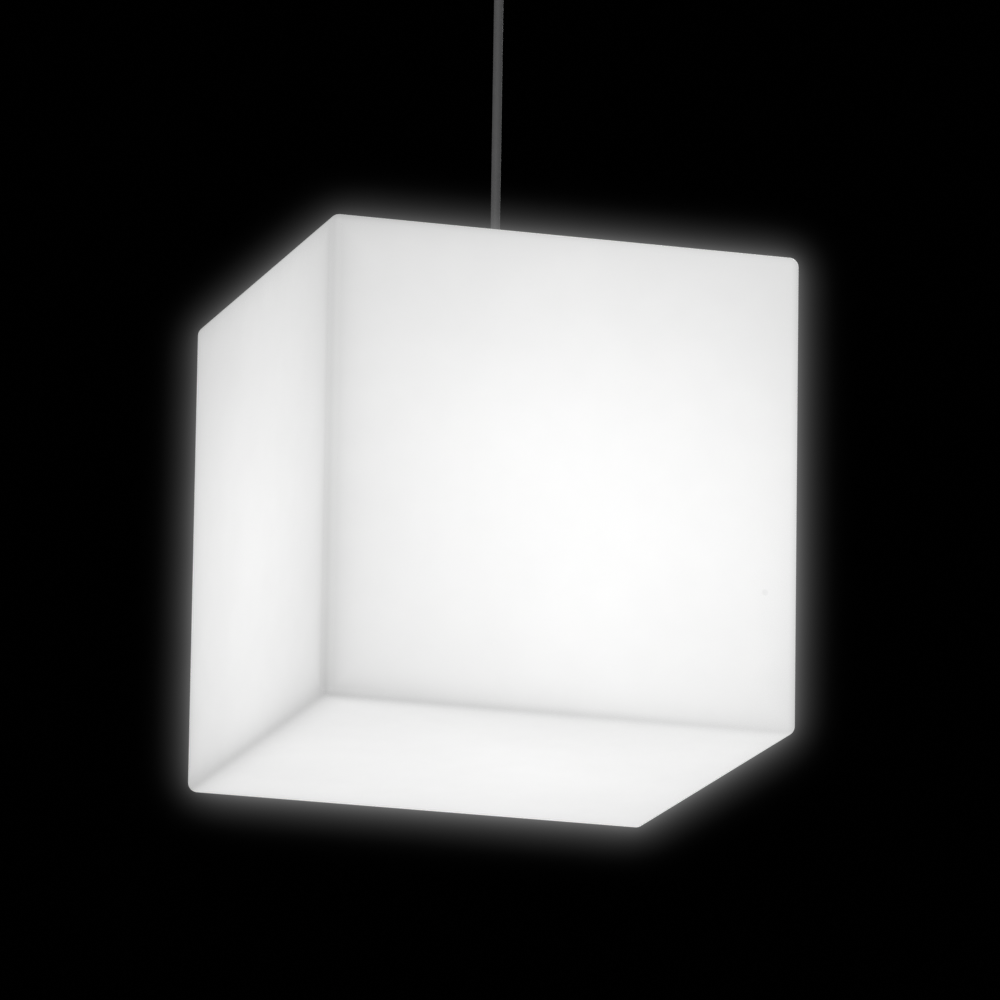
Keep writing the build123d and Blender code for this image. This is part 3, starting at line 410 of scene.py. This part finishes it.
materials = {
    "shell_polyethylene": glowing_shell(),
    "cover_plastic": moulded("cover_plastic", (0.66, 0.66, 0.645)),
    "canopy_plastic": moulded("canopy_plastic", (0.64, 0.64, 0.625), 0.38),
    "cord_rubber": rubber("cord_rubber", (0.115, 0.115, 0.117), 0.66, (1, 1, 0.03), 0.12),
    "seal_rubber": rubber("seal_rubber", (0.028, 0.028, 0.028), 0.66),
    "gland_plastic": moulded("gland_plastic", (0.15, 0.152, 0.158), 0.45),
    "stainless_steel": metal("stainless_steel", (0.62, 0.61, 0.59), 0.26, (0.38, 0.36, 0.33, 1.0)),
    "zinc_steel": metal("zinc_steel", (0.60, 0.62, 0.65), 0.4, (0.50, 0.47, 0.38, 1.0), spangle=0.35),
    "brass": metal("brass", (0.78, 0.58, 0.27), 0.28, (0.40, 0.26, 0.12, 1.0)),
    "terminal_nylon": moulded("terminal_nylon", (0.70, 0.68, 0.60), 0.4),
    "holder_plastic": moulded("holder_plastic", (0.020, 0.020, 0.021), 0.34, 0.6, 0.12),
    "ceramic": ceramic(),
    "bulb_insulator_glass": moulded("bulb_insulator_glass", (0.012, 0.012, 0.015), 0.12, 0.15, 0.05),
    "nickel": metal("nickel", (0.68, 0.65, 0.60), 0.2, (0.42, 0.38, 0.32, 1.0), (1, 1, 6)),
    "bulb_plastic": moulded("bulb_plastic", (0.74, 0.74, 0.73), 0.36, 0.7),
    "board_aluminium": board(),
    "opal_plastic": opal(),
    "lead_brown": insulation("lead_brown", (0.11, 0.040, 0.016)),
    "lead_blue": insulation("lead_blue", (0.025, 0.13, 0.44)),
    "lead_green_yellow": insulation("lead_green_yellow", (0.04, 0.26, 0.05), (0.72, 0.55, 0.02, 1.0)),
}

slots = {row["node"]: row["material_slot"] for row in frame["record"]["subparts"]}
for node, piece in frame["nodes"].items():
    piece.data.materials.clear()
    piece.data.materials.append(materials[slots[node]])


# The cord, one straight run between the pivots in its two glands
CORD_LEAD = 6 * 2 * CORD_RADIUS
cord_points = [TOP_PIVOT, TOP_PIVOT - CORD_LEAD, BOTTOM_PIVOT + CORD_LEAD, BOTTOM_PIVOT]
curve = bpy.data.curves.new("power_cord", "CURVE")
curve.dimensions = "3D"
curve.bevel_depth = CORD_RADIUS
curve.bevel_resolution = 8
curve.use_fill_caps = True
curve.resolution_u = 24
spline = curve.splines.new("NURBS")
spline.points.add(len(cord_points) - 1)
for point, height in zip(spline.points, cord_points):
    point.co = (0, 0, height, 1)
spline.order_u = 3
spline.use_endpoint_u = True
curve.materials.append(materials["cord_rubber"])
cord = placed("power_cord", curve)
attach(cord, "cord")
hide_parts("cord")


# Threads, which the part leaves plain


def built(name, mesh):
    """A new object from a finished bmesh."""
    made = bpy.data.meshes.new(name)
    mesh.to_mesh(made)
    mesh.free()
    return placed(name, made)


def tube(name, outline, low, high, rings, sides):
    """Rod or sleeve whose outline gives its radius and its bore at a turn and a height. A rod has bore 0."""
    mesh = bmesh.new()
    heights = [low + (high - low) * n / rings for n in range(rings + 1)]
    turns = [tau * n / sides for n in range(sides)]
    walls = []
    for inside in (False, True):
        wall = []
        for height in heights:
            radii = [outline(turn, height)[inside] for turn in turns]
            if max(radii) == 0:
                continue
            wall.append([mesh.verts.new((r * cos(a), r * sin(a), height)) for r, a in zip(radii, turns)])
        walls.append(wall)
    outside, bore = walls
    for wall, flip in ((outside, False), (bore, True)):
        for lower, upper in zip(wall, wall[1:]):
            for n in range(sides):
                m = (n + 1) % sides
                face = [lower[n], lower[m], upper[m], upper[n]]
                mesh.faces.new(face[::-1] if flip else face)
    for end in (0, -1):
        if bore:
            for n in range(sides):
                m = (n + 1) % sides
                face = [outside[end][n], bore[end][n], bore[end][m], outside[end][m]]
                mesh.faces.new(face if end else face[::-1])
        else:
            mesh.faces.new(outside[end] if end else outside[end][::-1])
    mesh.normal_update()
    for face in mesh.faces:
        face.smooth = len(face.verts) == 4
    return built(name, mesh)


def finished(piece, slot, body, *nodes):
    """Gives a piece its material and body, and hides the nodes that it stands for."""
    piece.data.materials.append(materials[slot])
    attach(piece, body)
    if nodes:
        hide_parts(*nodes)


def wave(turn, height, pitch):
    """Height of a screw thread's flank from -1 to 1."""
    return cos(tau * height / pitch - turn)


def ramp(value, low, high):
    """0 at low, 1 at high, and held outside them."""
    return max(0.0, min(1.0, (value - low) / (high - low)))


# A metric thread: its depth and the length of its chamfer, over its pitch, and how steep its flanks
# and its chamfer are
METRIC_DEPTH = 0.61
METRIC_CHAMFER = 0.8
FLANK_SLOPE = 1.35
CHAMFER_SLOPE = 0.8


def metric_thread(radius, pitch, low, high, bore=0.0):
    """Outline of a rod with a metric thread that fades out at a chamfer at each end."""

    def outline(turn, height):
        flank = 0.5 + 0.5 * max(-1.0, min(1.0, FLANK_SLOPE * wave(turn, height, pitch)))
        end = min(height - low, high - height)
        crest = radius - max(0.0, pitch * METRIC_CHAMFER - end) * CHAMFER_SLOPE
        return min(crest, radius - METRIC_DEPTH * pitch * (1 - flank)), bore

    return outline


stud_thread = metric_thread(STUD_RADIUS, STUD_PITCH, -STUD_LENGTH, 0.0)
for name, side, nodes in (("stud_left", -1, ["bracket_studs"]), ("stud_right", 1, [])):
    stud = tube(name, stud_thread, -STUD_LENGTH, 0.0, rings=540, sides=20)
    stud.location.x = side * STUD_SPACING / 2
    finished(stud, "zinc_steel", "bracket", *nodes)

low, high = (corner.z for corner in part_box("holder_nipple"))
nipple_thread = metric_thread(NIPPLE_RADIUS, NIPPLE_PITCH, low, high, NIPPLE_BORE)
nipple = tube("nipple", nipple_thread, low, high, rings=160, sides=40)
finished(nipple, "zinc_steel", "lamp", "holder_nipple")


# The bulb's rolled thread, and the one of the lampholder's shell
EDISON_PITCH = INCH / 7
CAP_THREAD_RISE = 0.45 * MM
CAP_WALL = 0.35 * MM
CAP_TURNED_IN = 0.6 * MM
SHELL_THREAD_RISE = 0.16 * MM
SHELL_WALL = 0.18 * MM

cap_low, cap_high = (corner.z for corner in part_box("bulb_cap"))
shell_low, shell_high = (corner.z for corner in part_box("screw_shell"))


def bulb_thread(turn, height):
    """Rolled thread of the bulb's cap: plain at its foot, turned in at its top."""
    foot = height - cap_low
    top = cap_high - height
    share = ramp(foot, 5.0 * MM, 7.5 * MM) * ramp(top, 0.0, 2.0 * MM)
    rise = CAP_THREAD_RISE * share * (wave(turn, height, EDISON_PITCH) - 1)
    turned_in = CAP_TURNED_IN * (1 - ramp(top, 0.0, 1.6 * MM)) ** 2
    outside = BULB_CAP_RADIUS + rise - turned_in
    return outside, outside - CAP_WALL


bulb_cap = tube("bulb_screw_cap", bulb_thread, cap_low, cap_high, rings=110, sides=72)
finished(bulb_cap, "nickel", "bulb", "bulb_cap")


def shell_thread(turn, height):
    """Rolled thread of the lampholder's shell, which stays clear of the bulb's."""
    share = ramp(height - shell_low, 1.0 * MM, 3.0 * MM) * ramp(shell_high - height, 1.0 * MM, 3.0 * MM)
    outside = SHELL_OUTSIDE - SHELL_THREAD_RISE * share * (1 - wave(turn, height, EDISON_PITCH))
    return outside, outside - SHELL_WALL


screw_shell = tube("threaded_shell", shell_thread, shell_low, shell_high, rings=90, sides=72)
finished(screw_shell, "brass", "lamp", "screw_shell")


# Floor, backdrop and light
FLOOR_HEIGHT = -2.9
FLOOR_RADIUS = 17.0
FLOOR_DARKEST = (0.78, 0.78, 0.78, 1.0)
FLOOR_PALEST = (0.85, 0.85, 0.85, 1.0)
BACKDROP_RADIUS = 28.0
PAINTED_DARKNESS_COLOUR = (0.0005, 0.0005, 0.0005, 1.0)


def staged(name, mesh, finish):
    """A piece of the studio, which isn't part of the light."""
    piece = built(name, mesh)
    piece.data.materials.append(finish.material)
    return piece


floor_mesh = bmesh.new()
bmesh.ops.create_circle(floor_mesh, cap_ends=True, radius=FLOOR_RADIUS, segments=96)
floor_finish = Finish("floor_paint", Roughness=0.7)
floor_cloud = floor_finish.noise(3.0, 4.0)
floor_finish.set("Base Color", floor_finish.colours(floor_cloud, FLOOR_DARKEST, FLOOR_PALEST))
floor = staged("floor", floor_mesh, floor_finish)
floor.location.z = FLOOR_HEIGHT

# Painted darkness: a near-black dome that only the camera sees. It stands in for the dark round the lamp,
# while the world's light still reaches the lamp.
backdrop_mesh = bmesh.new()
bmesh.ops.create_icosphere(backdrop_mesh, subdivisions=4, radius=BACKDROP_RADIUS)
painted_darkness_finish = Finish("painted_darkness", Roughness=1.0, Specular_IOR_Level=0.0)
painted_darkness_finish.set("Base Color", PAINTED_DARKNESS_COLOUR)
backdrop = staged("backdrop", backdrop_mesh, painted_darkness_finish)
for ray in ("diffuse", "glossy", "transmission", "volume_scatter", "shadow"):
    setattr(backdrop, f"visible_{ray}", False)

world = bpy.data.worlds.new("studio")
world.use_nodes = True
studio_light = world.node_tree.nodes["Background"]
studio_light.inputs["Color"].default_value = WHITE
studio_light.inputs["Strength"].default_value = WORLD_LIGHT
bpy.context.scene.world = world


def softbox(name, place, size, power):
    """A large square light that faces the lamp."""
    light = bpy.data.lights.new(name, "AREA")
    light.shape = "SQUARE"
    light.size = size
    light.energy = power
    lamp = placed(name, light)
    lamp.location = place
    lamp.rotation_euler = (Vector(place) - CUBE_MIDDLE).to_track_quat("Z", "Y").to_euler()
    lamp.visible_camera = False


softbox("softbox_front", (-2.4, -4.2, 2.6), size=2.4, power=90)
softbox("softbox_back", (3.0, 3.6, 2.4), size=2.2, power=70)


# The glow round a bright shape, which lifts only what is dark beside it. The second spreads the first.
GLOW_LEVEL = 0.5
GLOW_SIZE = 0.04
GLOWS = ({"Threshold": 0.35, "Strength": 1.25}, {"Threshold": 0.0, "Strength": 1.0})

scene = bpy.context.scene
scene.view_settings.view_transform = "Standard"
scene.view_settings.look = "None"
scene.use_nodes = True
tree = scene.node_tree
tree.nodes.clear()
layers = tree.nodes.new("CompositorNodeRLayers")
spread = layers.outputs["Image"]
for glow in GLOWS:
    glare = tree.nodes.new("CompositorNodeGlare")
    glare.glare_type = "BLOOM"
    glare.inputs["Size"].default_value = GLOW_SIZE
    for name, value in glow.items():
        glare.inputs[name].default_value = value
    tree.links.new(spread, glare.inputs["Image"])
    spread = glare.outputs["Glare"]
lift = tree.nodes.new("CompositorNodeCurveRGB")
levels = lift.mapping.curves[3]  # the curve for all three colours together
levels.points[0].location = (0, GLOW_LEVEL)
levels.points.new(GLOW_LEVEL, GLOW_LEVEL)
for point in levels.points:
    point.handle_type = "VECTOR"
lift.mapping.update()
picture = tree.nodes.new("CompositorNodeComposite")
tree.links.new(spread, lift.inputs["Fac"])
tree.links.new(layers.outputs["Image"], lift.inputs["Image"])
tree.links.new(lift.outputs["Image"], picture.inputs["Image"])
